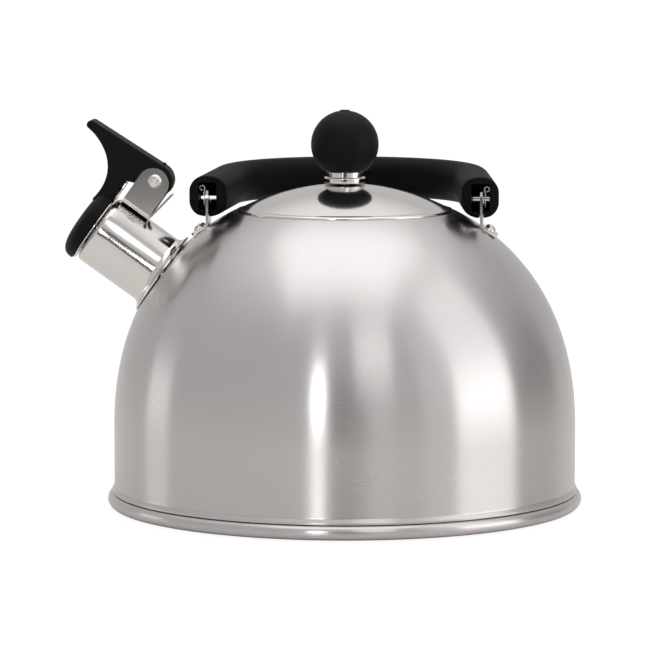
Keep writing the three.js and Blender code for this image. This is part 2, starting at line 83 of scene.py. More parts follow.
# ------------------------------------------------------------------ sizes and finishes

def length(name, description, default):
    """A length property, in metres."""
    return FloatProperty(name=name, description=description, default=default, min=0, unit="LENGTH")


def share(name, description, default):
    """A factor property from 0 to 1."""
    return FloatProperty(name=name, description=description, default=default, min=0, max=1, subtype="FACTOR")


def colour(name, description, default):
    """A colour property."""
    return FloatVectorProperty(name=name, description=description, default=default, size=3, min=0, max=1,
                               subtype="COLOR")


class KettleBodySizes(bpy.types.PropertyGroup):
    """Sizes of the domed body and its rolled base."""

    wall: length("Wall radius", "Outer radius of the straight lower wall", DOME_HIGH.x - 0.9 * MM)
    lip: length("Lip radius", "Outer radius of the body's lower lip", DOME_HIGH.x)
    lean: length("Lean height", "Height at which the wall starts to lean in", 33 * MM)
    lower_pull: length("Lower pull", "Length of the curve's handle along the wall", 48.8 * MM)
    upper_pull: length("Upper pull", "Length of the curve's handle along the shoulder", 23.2 * MM)
    shoulder: length("Shoulder radius", "Radius at which the shoulder's curve ends", 46 * MM)
    shoulder_height: length("Shoulder height", "Height at which the shoulder's curve ends", 117.5 * MM)
    bead: length("Bead radius", "Outer radius of the rolled base seam", BASE_HIGH.x + 0.1 * MM)
    seat: length("Seat height", "Height of the ledge that the lid rests on", 117 * MM)
    sheet: length("Sheet thickness", "Thickness of the pressed steel", 0.8 * MM)


class KettleSpoutSizes(bpy.types.PropertyGroup):
    """Sizes of the spout, its bracket and its whistle."""

    tube: length("Tube radius", "Outer radius of the spout's tube", 14.65 * MM)
    flange: length("Flange radius", "Outer radius of the flange against the body", 17.85 * MM)
    run: length("Tube length", "From the flange's rim to the whistle", 33.4 * MM)
    pivot_up: length("Pivot height", "From the tube's axis up to the lever's pin", 29.4 * MM)
    pivot_back: length("Pivot setback", "From the whistle back to the lever's pin", 9.5 * MM)
    ear: length("Ear width", "Width of the bracket's ears along the spout", 12.6 * MM)
    ear_gap: length("Ear gap", "Half the clear width between the ears", 6.6 * MM)
    mouth: length("Mouth roll", "Radius of the mouth's rolled lip", 2 * MM)
    disc: length("Disc radius", "Radius of the whistle's outer disc", 15.2 * MM)
    cap: length("Cap radius", "Outer radius of the black cap", 16 * MM)
    crown: length("Cap crown", "Height of the cap's dome", 6.6 * MM)
    lever: length("Lever half width", "Half the width of the thumb lever", 6.2 * MM)
    rise: FloatProperty(name="Rise", description="Angle of the spout above the horizontal",
                        default=math.radians(35.5), subtype="ANGLE")


class KettleLidSizes(bpy.types.PropertyGroup):
    """Sizes of the lid and its knob."""

    rim: length("Rim radius", "Outer radius of the lid's rolled rim", 43.3 * MM)
    crown: length("Crown radius", "Radius of the lid's spherical crown", 92 * MM)
    apex: length("Apex height", "Height of the top of the lid", LID_HIGH.z + 0.03 * MM)
    ball: length("Ball radius", "Radius of the ball knob", 13.5 * MM)
    ball_height: length("Ball height", "Height of the ball's centre", KNOB_HIGH.z - 13.5 * MM)
    collar: length("Collar radius", "Radius of the knob's steel collar", 7.25 * MM)


class KettleHandleSizes(bpy.types.PropertyGroup):
    """Sizes of the fold-back handle and its straps."""

    width: length("Grip width", "Width of the grip across its bow", 14.8 * MM)
    depth: length("Grip depth", "Height of the grip when folded back", 16.4 * MM)
    pivot: length("Pivot spread", "From the middle to the middle of each end", 54.4 * MM)
    toe: length("Toe", "From the pins to the end faces", 8 * MM)
    lift: length("Lift", "From the pins up to the grip's middle line", 1.2 * MM)
    strap: length("Strap spread", "From the middle to each strap", 54.7 * MM)
    strap_half: length("Strap half width", "Half the width of each strap", 6.3 * MM)
    tilt: FloatProperty(name="Tilt", description="Angle of the folded handle above the horizontal",
                        default=math.radians(1.7), subtype="ANGLE")


class KettleView(bpy.types.PropertyGroup):
    """Where the camera stands."""

    distance: length("Distance", "From the kettle's axis to the camera, along the floor", 1.6)
    height: length("Height", "Height of the camera above the floor", 0.253)
    aim: length("Aim", "Height on the axis that the camera looks at", 0.0724)
    sideways: length("Sideways", "How far the camera stands to the left of its line to the axis", 0.0079)
    bearing: FloatProperty(name="Bearing", description="Camera's angle from straight in front, in degrees",
                           default=4.0)
    lens: FloatProperty(name="Lens", description="Focal length on a 36 mm sensor", default=222.6, min=1,
                        subtype="DISTANCE_CAMERA")


class KettleFinishes(bpy.types.PropertyGroup):
    """Colours and finishes."""

    brushed: colour("Brushed steel", "Colour of the brushed body", (0.62, 0.598, 0.595))
    polished: colour("Polished steel", "Colour of the mirror-polished steel", (0.74, 0.715, 0.69))
    grip: colour("Grip", "Colour of the handle's soft-touch coat", (0.0022, 0.002, 0.0022))
    moulded: colour("Moulded black", "Colour of the moulded knob and cap", (0.0022, 0.002, 0.0022))
    brass: colour("Brass", "Colour of the knob's nut", (0.65, 0.47, 0.2))
    floor: colour("Floor", "Colour of the studio floor", (0.81, 0.785, 0.765))
    brushed_roughness: share("Brushed roughness", "Roughness of the brushed body", 0.26)
    polished_roughness: share("Polished roughness", "Roughness of the polished steel", 0.04)


def in_mm(group):
    """The lengths of a property group in millimetres, and its angles as they are."""
    sizes = {}
    for name in type(group).__annotations__:
        value = getattr(group, name)
        sizes[name] = value / MM if group.bl_rna.properties[name].unit == "LENGTH" else value
    return SimpleNamespace(**sizes)


# ------------------------------------------------------------------ drawn lines, in millimetres

def arc(centre, radii, start, end, steps):
    """Points of an arc round a centre, with angles in degrees."""
    turn = [math.radians(start + (end - start) * i / steps) for i in range(steps + 1)]
    return [(centre[0] + radii[0] * math.cos(a), centre[1] + radii[1] * math.sin(a)) for a in turn]


def bezier(start, pull_start, pull_end, end, steps):
    """Points of one cubic curve."""
    return [tuple(p) for p in interpolate_bezier(*map(Vector, (start, pull_start, pull_end, end)), steps + 1)]


def rounded(points, closed=False, steps=6):
    """The points of a line whose corners, given as (x, y, radius), are rounded."""
    drawn = []
    for i, (x, y, *radius) in enumerate(points):
        corner = Vector((x, y))
        if not radius or (not closed and i in (0, len(points) - 1)):
            drawn.append((x, y))
            continue
        back = Vector(points[i - 1][:2]) - corner
        on = Vector(points[(i + 1) % len(points)][:2]) - corner
        half = back.angle(on) / 2
        reach = min(radius[0] / math.tan(half), 0.48 * back.length, 0.48 * on.length)
        bend = reach * math.tan(half)
        back.normalize()
        on.normalize()
        centre = corner + (back + on).normalized() * (bend / math.sin(half))
        first, last = corner + back * reach - centre, corner + on * reach - centre
        for k in range(steps + 1):
            drawn.append(tuple(centre + first.lerp(last, k / steps).normalized() * bend))
    return drawn


# ------------------------------------------------------------------ piece makers

UPRIGHT = ((0, 0, 1), (1, 0, 0), (0, 1, 0))  # a slab drawn as (along, up) in the spout's frame


def spun(line, steps, closed):
    """A bmesh turned about Z from a line of (radius, height)."""
    bm = bmesh.new()
    verts = [bm.verts.new((r, 0, z)) for r, z in line]
    pairs = list(zip(verts, verts[1:])) + ([(verts[-1], verts[0])] if closed else [])
    edges = [bm.edges.new(pair) for pair in pairs]
    bmesh.ops.spin(bm, geom=verts + edges, cent=(0, 0, 0), axis=(0, 0, 1), angle=math.tau, steps=steps,
                   use_merge=True)
    bmesh.ops.remove_doubles(bm, verts=bm.verts, dist=1e-3)
    bmesh.ops.recalc_face_normals(bm, faces=bm.faces)
    return bm


def slab(points, low, high, axes, bevel=0.0):
    """A bmesh of a flat outline between two depths; axes are the directions of x, y and depth."""
    bm = bmesh.new()
    place = Matrix(axes).transposed()
    face = bm.faces.new([bm.verts.new(place @ Vector((x, y, low))) for x, y in points])
    made = bmesh.ops.extrude_face_region(bm, geom=[face])["geom"]
    moved = [v for v in made if isinstance(v, bmesh.types.BMVert)]
    bmesh.ops.translate(bm, verts=moved, vec=place @ Vector((0, 0, high - low)))
    bmesh.ops.recalc_face_normals(bm, faces=bm.faces)
    if bevel:
        rims = [e for e in bm.edges if e.calc_face_angle(0) > math.radians(60)]
        bmesh.ops.bevel(bm, geom=rims, offset=bevel, segments=3, profile=0.5, affect="EDGES", material=-1)
    return bm


def skinned(rows, ring=False, capped=False):
    """A bmesh drawn row by row: the last row's edges are extruded and moved to the next row of points."""
    bm = bmesh.new()
    last = [bm.verts.new(p) for p in rows[0]]

    def edges_of(verts, find):
        pairs = list(zip(verts, verts[1:])) + ([(verts[-1], verts[0])] if ring else [])
        return [find(pair) for pair in pairs]

    edges = edges_of(last, bm.edges.new)
    if capped:
        bm.faces.new(last)
    for row in rows[1:]:
        made = bmesh.ops.extrude_edge_only(bm, edges=edges)["geom"]
        fresh = {v for v in made if isinstance(v, bmesh.types.BMVert)}
        last = [next(o for o in (e.other_vert(v) for e in v.link_edges) if o in fresh) for v in last]
        for vert, point in zip(last, row):
            vert.co = point
        edges = edges_of(last, bm.edges.get)
    if capped:
        bm.faces.new(last)
    bmesh.ops.remove_doubles(bm, verts=bm.verts, dist=1e-3)
    bmesh.ops.recalc_face_normals(bm, faces=bm.faces)
    return bm


def wire_rows(path, radius, sides=10):
    """Rings of points round a path, kept from twisting."""
    rows, up = [], Vector((0, 1, 0))
    for before, spot, after in zip(path[:1] + path, path, path[1:] + path[-1:]):
        along = (after - before).normalized()
        side = up.cross(along).normalized()
        up = along.cross(side)
        turns = [math.tau * i / sides for i in range(sides)]
        rows.append([spot + (side * math.cos(a) + up * math.sin(a)) * radius for a in turns])
    return rows


def joined(*parts):
    """One bmesh that holds the faces of several."""
    whole = bmesh.new()
    for bm in parts:
        mesh = bpy.data.meshes.new("part")
        bm.to_mesh(mesh)
        bm.free()
        whole.from_mesh(mesh)
        bpy.data.meshes.remove(mesh)
    return whole


def placed_mesh(name, bm, place):
    """A smooth mesh in metres from a bmesh in millimetres."""
    bmesh.ops.transform(bm, matrix=place @ Matrix.Scale(MM, 4), verts=bm.verts)
    mesh = bpy.data.meshes.new(name)
    bm.to_mesh(mesh)
    bm.free()
    return mesh


def smoothed(mesh, sharp):
    """Shades a mesh smooth, but for edges sharper than an angle."""
    mesh.shade_smooth()
    mesh.set_sharp_from_angle(angle=math.radians(sharp))


def piece(name, bm, material, body, nodes, place=Matrix(), sharp=38):
    """Finishes a bmesh as an object that rides on a body and stands for its CAD nodes."""
    mesh = placed_mesh(name, bm, place)
    smoothed(mesh, sharp)
    mesh.materials.append(material)
    made = bpy.data.objects.new(name, mesh)
    bpy.context.scene.collection.objects.link(made)
    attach(made, body)
    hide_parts(*nodes)
    return made


def modifier(made, kind, **settings):
    """Adds a modifier with its settings."""
    added = made.modifiers.new(kind.title(), kind)
    for key, value in settings.items():
        setattr(added, key, value)


def settle(made, sharp=38):
    """Gives a piece the mesh that its modifiers make, and takes them off."""
    graph = bpy.context.evaluated_depsgraph_get()
    mesh = bpy.data.meshes.new_from_object(made.evaluated_get(graph), depsgraph=graph)
    made.modifiers.clear()
    made.data = mesh
    smoothed(mesh, sharp)


def carve(made, place, *tools, sharp=38):
    """Cuts tools, drawn as bmeshes, out of a piece."""
    cutters = []
    for bm in tools:
        cutter = bpy.data.objects.new("cutter", placed_mesh("cutter", bm, place))
        bpy.context.scene.collection.objects.link(cutter)
        modifier(made, "BOOLEAN", object=cutter, operation="DIFFERENCE", solver="EXACT")
        cutters.append(cutter)
    settle(made, sharp)
    for cutter in cutters:
        bpy.data.objects.remove(cutter)


def remeshed(made, voxel, rounds):
    """Melts a piece's parts into one skin with softly rounded edges."""
    modifier(made, "REMESH", mode="VOXEL", voxel_size=voxel * MM)
    modifier(made, "SMOOTH", factor=0.5, iterations=rounds)
    settle(made)


def pressed(made, sheet, edge):
    """Gives a folded surface the thickness of its sheet, with its cut edges broken."""
    modifier(made, "SOLIDIFY", thickness=sheet * MM, offset=0)
    modifier(made, "BEVEL", width=edge * MM, segments=2, limit_method="ANGLE", angle_limit=math.radians(50))
    settle(made, sharp=20)


# ------------------------------------------------------------------ local frames

def spout_matrix(sizes):
    """The spout's frame: +Z out along the tube, +X up from its axis, at the whistle."""
    out = Vector((-math.cos(sizes.rise), 0, math.sin(sizes.rise)))
    up = Vector((math.sin(sizes.rise), 0, math.cos(sizes.rise)))
    mouth = FLIP_PIVOT - up * sizes.pivot_up * MM + out * sizes.pivot_back * MM
    turn = Matrix((up, Vector((0, 1, 0)), out)).transposed().to_4x4()
    return Matrix.Translation(mouth) @ turn


def bail_matrix(sizes):
    """The handle's frame: on the pins, turned by the folded handle's tilt."""
    return Matrix.Translation(FOLD_PIVOT) @ Matrix.Rotation(sizes.tilt, 4, "X")


def foot_matrix(side):
    """The foot of a strap: +X down the shoulder, +Z out of the body, at the rivets."""
    sunk = 0.55 * MM
    middle = (RIVET_LOW + RIVET_HIGH) / 2
    slope = math.atan2(middle.z - STRAP_LOW.z, STRAP_HIGH.x - middle.x)
    turned = Matrix.Translation((side * middle.x, 0, middle.z)) @ Matrix.Rotation(side * slope, 4, "Y")
    return turned @ Matrix.Translation((0, 0, -sunk))


# ------------------------------------------------------------------ node helpers

def fill(tree, node, inputs):
    """Fills a node's inputs with values or with other nodes' outputs."""
    for key, value in inputs.items():
        if isinstance(value, bpy.types.NodeSocket):
            tree.links.new(value, node.inputs[key])
        else:
            node.inputs[key].default_value = value


def add(tree, kind, inputs=None, **settings):
    """Adds a shader node, sets it up and fills its inputs."""
    made = tree.nodes.new("ShaderNode" + kind)
    for key, value in settings.items():
        setattr(made, key, value)
    fill(tree, made, inputs or {})
    return made


def sums(tree, operation, first, second=0.0, third=0.0):
    """The result of a Math node."""
    return add(tree, "Math", {0: first, 1: second, 2: third}, operation=operation).outputs[0]


def group_of(name, inputs, outputs, draw):
    """A shader node group with named sockets, drawn once."""
    if name in bpy.data.node_groups:
        return bpy.data.node_groups[name]
    tree = bpy.data.node_groups.new(name, "ShaderNodeTree")
    for label, kind, default in inputs:
        socket = tree.interface.new_socket(name=label, in_out="INPUT", socket_type="NodeSocket" + kind)
        if default is not None:
            socket.default_value = default
    for label in outputs:
        tree.interface.new_socket(name=label, in_out="OUTPUT", socket_type="NodeSocketFloat")
    entry = tree.nodes.new("NodeGroupInput")
    made = draw(tree, entry.outputs)
    leave = tree.nodes.new("NodeGroupOutput")
    for label, value in zip(outputs, made):
        tree.links.new(value, leave.inputs[label])
    return tree


def place_group(tree, group, **inputs):
    """Puts a node group in a material with its own values."""
    return add(tree, "Group", inputs, node_tree=group).outputs


def turning_lines():
    """Fine lines round the upright axis, as a polishing wheel leaves on a turning kettle."""
    def draw(tree, given):
        parts = add(tree, "SeparateXYZ", {0: given["Vector"]}).outputs
        flat = add(tree, "CombineXYZ", {0: parts[0], 1: parts[1]}).outputs[0]
        radius = add(tree, "VectorMath", {0: flat}, operation="LENGTH").outputs["Value"]
        turn = add(tree, "VectorMath", {0: flat}, operation="NORMALIZE").outputs[0]
        climb = sums(tree, "MULTIPLY", sums(tree, "SUBTRACT", parts[2], radius), given["Fineness"])
        across = add(tree, "CombineXYZ", {2: climb}).outputs[0]
        stretch = {0: turn, 1: (3.1, 3.1, 0), 2: across}
        spot = add(tree, "VectorMath", stretch, operation="MULTIPLY_ADD").outputs[0]
        broad = {"Vector": spot, "Scale": 1, "Detail": 3, "Roughness": 0.7}
        coarse = add(tree, "TexNoise", broad).outputs["Fac"]
        fine = add(tree, "TexNoise", {"Vector": spot, "Scale": 4.3, "Detail": 1}).outputs["Fac"]
        return [sums(tree, "MULTIPLY_ADD", fine, 0.45, sums(tree, "MULTIPLY", coarse, 0.55))]
    return group_of("Turning lines", [("Vector", "Vector", None), ("Fineness", "Float", 900.0)], ["Lines"],
                    draw)


def handling():
    """Soft clouds of handling and wiping, from 0 to 1."""
    def draw(tree, given):
        clouds = add(tree, "TexNoise", {"Vector": given["Vector"], "Scale": given["Scale"], "Detail": 4,
                                        "Roughness": 0.55, "Distortion": 0.4}).outputs["Fac"]
        spread = add(tree, "MapRange", {"Value": clouds, "From Min": 0.35, "From Max": 0.68})
        return [spread.outputs["Result"]]
    return group_of("Handling", [("Vector", "Vector", None), ("Scale", "Float", 30.0)], ["Clouds"], draw)


def moulded_grain():
    """The fine pebbled grain of a moulded black surface."""
    def draw(tree, given):
        pebbles = add(tree, "TexVoronoi", {"Vector": given["Vector"], "Scale": given["Fineness"]},
                      feature="SMOOTH_F1").outputs["Distance"]
        grit = add(tree, "TexNoise", {"Vector": given["Vector"], "Scale": given["Fineness"],
                                      "Detail": 3}).outputs["Fac"]
        return [sums(tree, "MULTIPLY_ADD", pebbles, 0.6, sums(tree, "MULTIPLY", grit, 0.4)), grit]
    return group_of("Moulded grain", [("Vector", "Vector", None), ("Fineness", "Float", 1800.0)],
                    ["Height", "Grit"], draw)


# ------------------------------------------------------------------ finishes

def surface(name, build):
    """A material drawn once: build gets its tree, its Principled shader and its Object coordinates."""
    if name in bpy.data.materials:
        return bpy.data.materials[name]
    material = bpy.data.materials.new(name)
    material.use_nodes = True
    tree = material.node_tree
    shader = tree.nodes["Principled BSDF"]
    build(tree, shader, add(tree, "TexCoord").outputs["Object"])
    return material


def shaded(tree, shader, base, factor, depth, roughness, spread, height, distance):
    """Feeds a shader its varied colour, its varied roughness and its fine relief."""
    tones = add(tree, "Mix", {"Factor": factor}, data_type="RGBA")
    tones.inputs["A"].default_value = (*[c * (1 - depth) for c in base], 1)
    tones.inputs["B"].default_value = (*[min(c * (1 + depth), 1) for c in base], 1)
    tree.links.new(tones.outputs["Result"], shader.inputs["Base Color"])
    low, high = roughness - spread, roughness + spread
    rough = add(tree, "MapRange", {"Value": factor, "To Min": low, "To Max": high})
    tree.links.new(rough.outputs["Result"], shader.inputs["Roughness"])
    bump = add(tree, "Bump", {"Height": height, "Distance": distance, "Strength": 1.0})
    tree.links.new(bump.outputs["Normal"], shader.inputs["Normal"])


def steel(name, base, roughness, lines, anisotropy=0.0, relief=1.2e-6, wiping=30.0):
    """A steel turned or polished round the upright axis, with this many lines to the metre."""
    def build(tree, shader, spot):
        marks = place_group(tree, turning_lines(), Vector=spot, Fineness=lines)["Lines"]
        clouds = place_group(tree, handling(), Vector=spot, Scale=wiping)["Clouds"]
        factor = sums(tree, "MULTIPLY_ADD", marks, 0.6, sums(tree, "MULTIPLY", clouds, 0.4))
        shaded(tree, shader, base, factor, depth=0.03, roughness=roughness, spread=roughness * 0.15,
               height=marks, distance=relief)
        shader.inputs["Metallic"].default_value = 1
        shader.inputs["Anisotropic"].default_value = anisotropy
        if anisotropy:
            shader.inputs["Anisotropic Rotation"].default_value = 0.25
            across = add(tree, "VectorMath", {0: (0, 0, 1), 1: spot}, operation="CROSS_PRODUCT")
            tree.links.new(across.outputs[0], shader.inputs["Tangent"])
    return surface(name, build)


def black(name, base, roughness, grain, relief, shine):
    """A black moulding or coat with a fine grain."""
    def build(tree, shader, spot):
        made = place_group(tree, moulded_grain(), Vector=spot, Fineness=grain)
        clouds = place_group(tree, handling(), Vector=spot, Scale=45)["Clouds"]
        factor = sums(tree, "MULTIPLY_ADD", made["Grit"], 0.5, sums(tree, "MULTIPLY", clouds, 0.5))
        shaded(tree, shader, base, factor, depth=0.2, roughness=roughness, spread=0.06,
               height=made["Height"], distance=relief)
        shader.inputs["Specular IOR Level"].default_value = shine
    return surface(name, build)


def brushed_steel(finishes):
    return steel("brushed_steel", finishes.brushed, finishes.brushed_roughness, lines=600, anisotropy=0.9,
                 relief=1e-7)


def polished_steel(finishes):
    return steel("polished_steel", finishes.polished, finishes.polished_roughness, lines=500, relief=1e-7,
                 wiping=60)


def spring_steel(finishes):
    darker = [c * 0.75 for c in finishes.polished]
    return steel("spring_steel", darker, 0.22, lines=2500, relief=3e-6, wiping=150)


def soft_touch(finishes):
    return black("soft_touch_black", finishes.grip, 0.6, grain=2600, relief=1e-5, shine=0.12)


def moulding(finishes):
    return black("moulded_black", finishes.moulded, 0.55, grain=1500, relief=2.5e-5, shine=0.16)


# ------------------------------------------------------------------ operators

class Maker:
    """What every operator of the kettle shares."""

    bl_options = {"REGISTER", "UNDO"}

    def execute(self, context):
        self.make(context.scene)
        return {"FINISHED"}


def body_line(sizes, steps=56):
    """The body's outside from the lean of its wall to its shoulder."""
    slope = math.radians(27.5)
    shoulder = Vector((sizes.shoulder, sizes.shoulder_height))
    pull = shoulder + Vector((math.cos(slope), -math.sin(slope))) * sizes.upper_pull
    lean, lower = (sizes.wall, sizes.lean), (sizes.wall, sizes.lean + sizes.lower_pull)
    return bezier(lean, lower, pull, shoulder, steps)


class KETTLE_OT_body(Maker, bpy.types.Operator):
    """Makes the domed body, with its flared lower lip, its lid seat and the hole for the spout"""
    bl_idname = "kettle.body"
    bl_label = "Body"

    def make(self, scene):
        sizes = in_mm(scene.kettle_body)
        spout = in_mm(scene.kettle_spout)
        lip_low = 6.4
        foot = rounded([(sizes.lip - 0.05, lip_low), (sizes.lip, lip_low + 0.7, 0.3),
                        (sizes.wall, lip_low + 2.2, 1.2), (sizes.wall, sizes.lean - 3)])
        ledge, neck = sizes.seat, 39.3
        seat = rounded([(neck + 5.5, ledge + 1.12), (neck + 4.8, ledge + 1.4, 0.35), (neck + 4.6, ledge, 0.3),
                        (neck + 0.45, ledge, 0.8), (neck, ledge - 7)])
        line = foot + body_line(sizes) + seat
        bm = spun(line, 288, closed=False)
        inward = spout_matrix(spout).inverted()
        hole, rim = 16.2, spout.tube + 0.4

        def off_axis(vert):
            local = inward @ (vert.co * MM)
            return math.hypot(local.x, local.y) / MM if local.z > -60 * MM else math.inf

        doomed = [f for f in bm.faces if max(map(off_axis, f.verts)) < hole]
        bmesh.ops.delete(bm, geom=doomed, context="FACES")
        for vert in {v for e in bm.edges if e.is_boundary for v in e.verts if off_axis(v) < hole}:
            local = inward @ (vert.co * MM)
            share_in = rim / off_axis(vert)
            local.x, local.y = local.x * share_in, local.y * share_in
            vert.co = spout_matrix(spout) @ local / MM
        made = piece("body_dome", bm, brushed_steel(scene.kettle_finishes), "kettle_body",
                     ["dome_shell"])
        modifier(made, "SOLIDIFY", thickness=sizes.sheet * MM, offset=-1, use_even_offset=True)
        settle(made)


class KETTLE_OT_base(Maker, bpy.types.Operator):
    """Makes the base pan, whose edge is rolled into the bead that the body stands in"""
    bl_idname = "kettle.base"
    bl_label = "Base"

    def make(self, scene):
        sizes = in_mm(scene.kettle_body)
        bead, bead_half, bead_up = 2.5, 2.85, 3.3
        upstand = sizes.wall - sizes.sheet - 0.6
        line = rounded([(0, 0), (87.5, 0, 1.2), (90.3, 1, 0.6), (90.95, 1.3)])
        line += arc((sizes.bead - bead, bead_up), (bead, bead_half), -122, 96, 26)
        inside, top = upstand - sizes.sheet, 11
        line += rounded([(upstand + 0.5, 6.15), (upstand, 6.7, 0.4), (upstand, top), (inside, top),
                         (inside, 3.3, 0.8), (88.9, 1.6, 0.5), (87, 1, 1), (0, 1)])
        piece("base_pan_rolled", spun(line, 288, closed=False), brushed_steel(scene.kettle_finishes),
              "kettle_body", ["base_pan"])


class KETTLE_OT_spout(Maker, bpy.types.Operator):
    """Makes the slanted spout, with its rounded mouth and the flange where it meets the body"""
    bl_idname = "kettle.spout"
    bl_label = "Spout"

    def make(self, scene):
        sizes = in_mm(scene.kettle_spout)
        tube, flange, root, sheet = sizes.tube, sizes.flange, -sizes.run, 0.8
        inside, collar = root - 4.6, tube + 1.6
        line = [(tube - sheet, inside), (collar, inside), (collar, inside + sheet), (tube, root - 3.7)]
        line += [(tube, root + 0.9), (flange - 0.25, root + 0.18)]
        line += [(flange, root + 0.35), (flange, root + 0.75)]
        line += arc((flange + 0.02, root + 4.1), (flange - tube, 3.15), 266, 182, 16)
        end, neck = -1.2, tube - sizes.mouth
        line += [(tube, -8)] + arc((neck, end - sizes.mouth), (sizes.mouth, sizes.mouth), 0, 90, 12)
        line += [(neck - 0.2, end), (neck - 0.2, end - sheet)]
        line += arc((neck, end - sizes.mouth), (sizes.mouth - sheet, sizes.mouth - sheet), 90, 0, 8)
        piece("spout_tube_flanged", spun(line, 160, closed=True), polished_steel(scene.kettle_finishes),
              "kettle_body", ["spout_tube"], spout_matrix(sizes))


class KETTLE_OT_hinge(Maker, bpy.types.Operator):
    """Makes the folded bracket on the spout, its pin and the cap's spring"""
    bl_idname = "kettle.hinge"
    bl_label = "Spout hinge"

    def make(self, scene):
        sizes = in_mm(scene.kettle_spout)
        finishes = scene.kettle_finishes
        along, up, half, saddle = -sizes.pivot_back, sizes.pivot_up, sizes.ear / 2, 15.4
        face = sizes.ear_gap + 0.4
        ear = [(face, y, w) for w, y in arc((0, up - 1.3), (half, half), 90, 0, 14)]
        fold = 1.3
        bend = [(x, y, half) for x, y in arc((face - fold, saddle + fold), (fold, fold), 0, -90, 6)]
        side = ear + [(face, saddle + 1.6, half)] + bend
        rows = [[(y, x, along - w), (y, x, along + w)] for x, y, w in side]
        rows += [[(y, -x, along - w), (y, -x, along + w)] for x, y, w in reversed(side)]
        back, tail_half = along - half, 3.4
        tail = rounded([(back + 2, saddle), (back - 0.2, saddle, 0.8), (back - 2.2, up - 0.9)])
        tongue = [[(u, -tail_half, a), (u, tail_half, a)] for a, u in tail]
        bracket = piece("hinge_bracket_folded", joined(skinned(rows), skinned(tongue)),
                        polished_steel(finishes), "kettle_body", ["hinge_bracket"],
                        spout_matrix(sizes))
        pressed(bracket, 0.8, 0.12)

        pivot = spout_matrix(sizes) @ Matrix.Translation((up * MM, 0, along * MM))
        outer = face + 0.7
        dimpled = ((0, 0.75), (0.7, 0.8), (1.1, 1.02), (1.8, 0.9), (2.4, 0.55), (2.7, 0.15), (2.6, 0),
                   (2, -0.05))
        head = [(r, outer + rise) for r, rise in dimpled]
        line = head + [(r, -z) for r, z in reversed(head)]
        piece("hinge_pin_domed", spun(line, 48, closed=False), polished_steel(finishes), "kettle_body",
              ["hinge_pin"], pivot @ Matrix.Rotation(math.pi / 2, 4, "X"))

        coil, wire, turns, pitch, sides = 3.4, 0.35, 4, 1.15, 28
        start = -pitch * turns / 2
        path = [Vector((x, start - aside, -coil)) for x, aside in ((-12.7, 0.2), (-6, 0.15), (-1.5, 0.05))]
        for i in range(turns * sides + 1):
            a = math.tau * i / sides
            path.append(Vector((coil * math.sin(a), start + pitch * i / sides, -coil * math.cos(a))))
        piece("cap_spring_coiled", skinned(wire_rows(path, wire), ring=True, capped=True),
              spring_steel(finishes), "kettle_body", ["cap_spring"], pivot)


def cap_line(radius, foot, height, steps):
    """The outline of the cap's flattened dome, from its rim to its top."""
    power = 2 / 3.2
    turns = [math.pi / 2 * i / steps for i in range(steps)]
    side = [(radius * math.cos(a) ** power, foot + height * math.sin(a) ** power) for a in turns]
    return side + [(0, foot + height)]


class KETTLE_OT_cap(Maker, bpy.types.Operator):
    """Makes the black whistle cap, moulded in one with its thumb lever"""
    bl_idname = "kettle.cap"
    bl_label = "Whistle cap"

    def make(self, scene):
        sizes = in_mm(scene.kettle_spout)
        along, up, foot, hub = -sizes.pivot_back, sizes.pivot_up, 0.2, 6.8
        edge = sizes.lever
        dome = spun([(0, foot)] + cap_line(sizes.cap, foot, sizes.crown, 36), 96, closed=False)
        lever = arc((along, up), (hub, hub), 215, 85, 24)
        lever += arc((24.3, 32.7), (1.8, 1.8), 88, -60, 10)
        lever += bezier((23.4, 31.1), (8.5, 28), (5, 18), (7, 8.8), 24)[1:]
        lever += [(4, 8.4), (foot, 12.2), (foot, 22.5), (-3.4, 24)]
        nub = slab(arc((along + 1.2, up + hub + 0.15), (0.75, 0.75), 90, -240, 11), -1.4, 1.4, UPRIGHT)
        whole = joined(dome, slab(lever, -edge, edge, UPRIGHT), nub)
        made = piece("whistle_cap_lever", whole, moulding(scene.kettle_finishes), "whistle_cap",
                     ["spout_cap"], spout_matrix(sizes))
        remeshed(made, 0.3, 3)
        steps, wall, room = 40, 2.4, 3.2
        below, above, inside = foot - 1, foot + sizes.crown + 1, sizes.cap - wall
        inner = [(0, below), (inside, below)] + cap_line(inside, foot, sizes.crown - wall, 18)

        def round_pin(radius, reach):
            full = 360 * (1 - 1 / steps)
            return slab(arc((along, up), (radius, radius), 0, full, steps - 1), -reach, reach, UPRIGHT)

        left, bottom, right, top = along - hub - 1, up - hub - 1, along + 2, up + 1.6
        window = slab([(left, bottom), (right, bottom), (right, top), (left, top)], -room, room, UPRIGHT)
        steam = spun([(0, below), (3.2, below), (3.2, above), (0, above)], 48, closed=False)
        carve(made, spout_matrix(sizes), spun(inner, 72, closed=False), round_pin(5.3, room), window,
              round_pin(2.3, edge + 1), steam)


